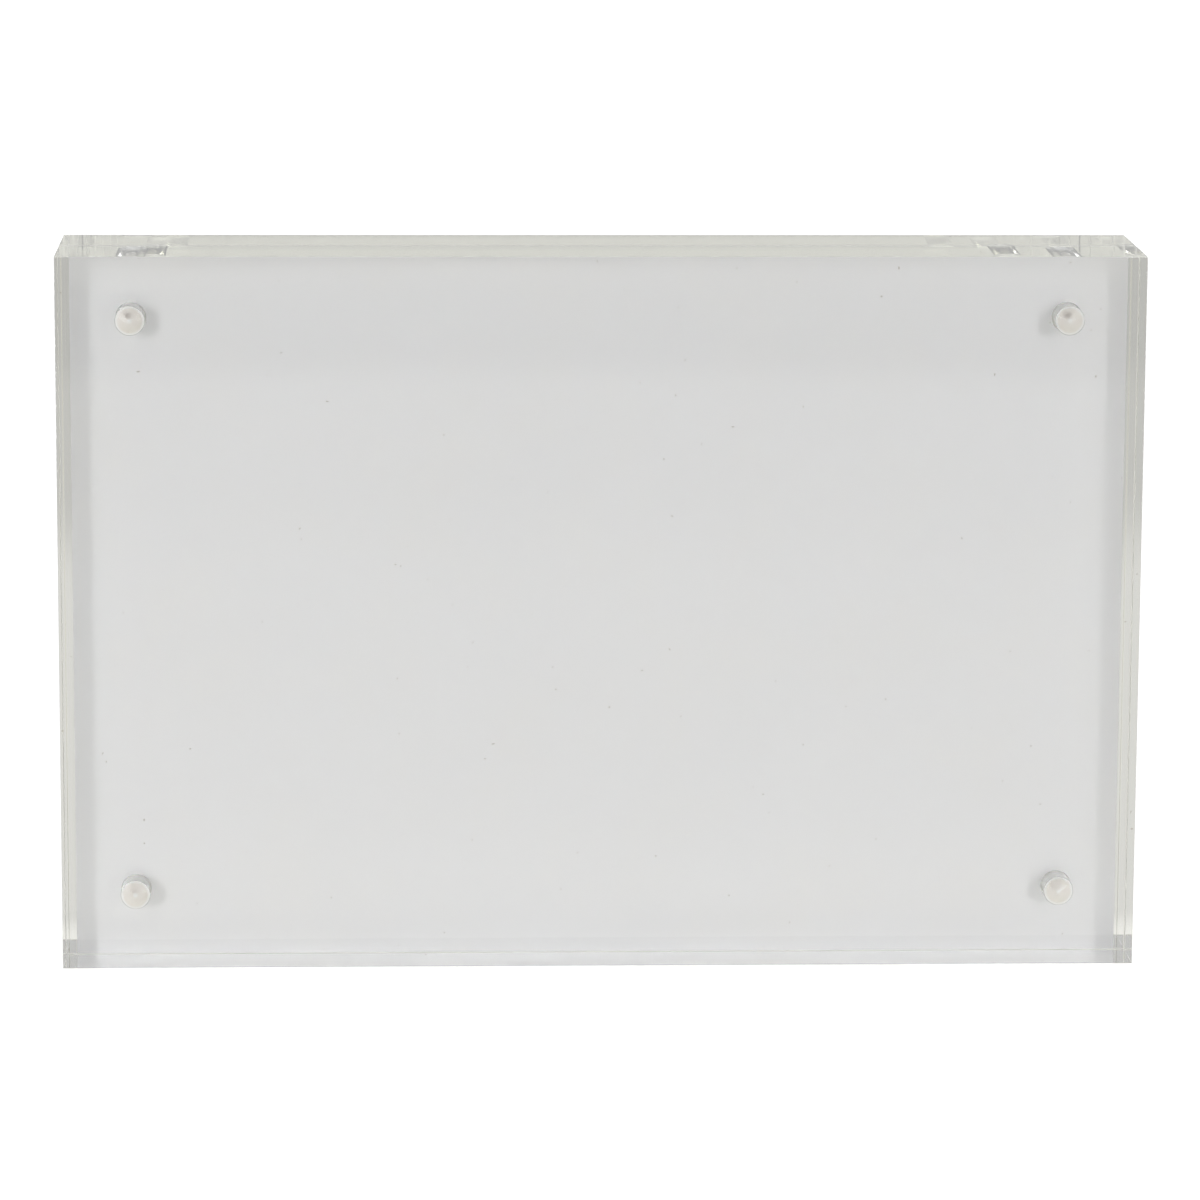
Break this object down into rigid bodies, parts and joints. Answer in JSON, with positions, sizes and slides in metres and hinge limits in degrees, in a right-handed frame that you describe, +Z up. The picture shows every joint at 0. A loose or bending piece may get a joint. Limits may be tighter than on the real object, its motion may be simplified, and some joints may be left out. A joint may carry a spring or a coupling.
{
  "type": "magnetic acrylic block sign holder",
  "caption": "Landscape clear acrylic block frame: two polished slabs held face to face by corner magnets, with a blank card in the seam where a sign or print goes.",
  "frame": {"origin": "middle of the base, under the centre of the two slabs and the seam between them", "axes": "+Z up, -Y the front that faces the viewer, +X along the long side to the viewer's right"},
  "size_m": [0.1524, 0.0256, 0.1016],
  "materials": {
    "clear_acrylic": "clear cast acrylic with polished faces and edges",
    "nickel_plate": "nickel plated magnet, satin",
    "cured_glue": "cured cream adhesive, cloudy",
    "card_stock": "plain uncoated white card, a little grey"
  },
  "bodies": {
    "rear_half": {"rear_block": "clear_acrylic", "rear_magnet_top_left": "nickel_plate", "rear_magnet_top_right": "nickel_plate", "rear_magnet_bottom_left": "nickel_plate", "rear_magnet_bottom_right": "nickel_plate", "rear_glue_top_left": "cured_glue", "rear_glue_top_right": "cured_glue", "rear_glue_bottom_left": "cured_glue", "rear_glue_bottom_right": "cured_glue"},
    "front_half": {"front_block": "clear_acrylic", "front_magnet_top_left": "nickel_plate", "front_magnet_top_right": "nickel_plate", "front_magnet_bottom_left": "nickel_plate", "front_magnet_bottom_right": "nickel_plate", "front_glue_top_left": "cured_glue", "front_glue_top_right": "cured_glue", "front_glue_bottom_left": "cured_glue", "front_glue_bottom_right": "cured_glue"},
    "card": {"insert_card": "card_stock"}
  },
  "joints": [
    {"name": "front_slab_pull", "type": "slide", "parent": "rear_half", "child": "front_half", "axis": [0, -1, 0], "range_m": [0, 0.05]},
    {"name": "card_lift", "type": "slide", "parent": "rear_half", "child": "card", "axis": [0, 0, 1], "range_m": [0, 0.11]}
  ]
}
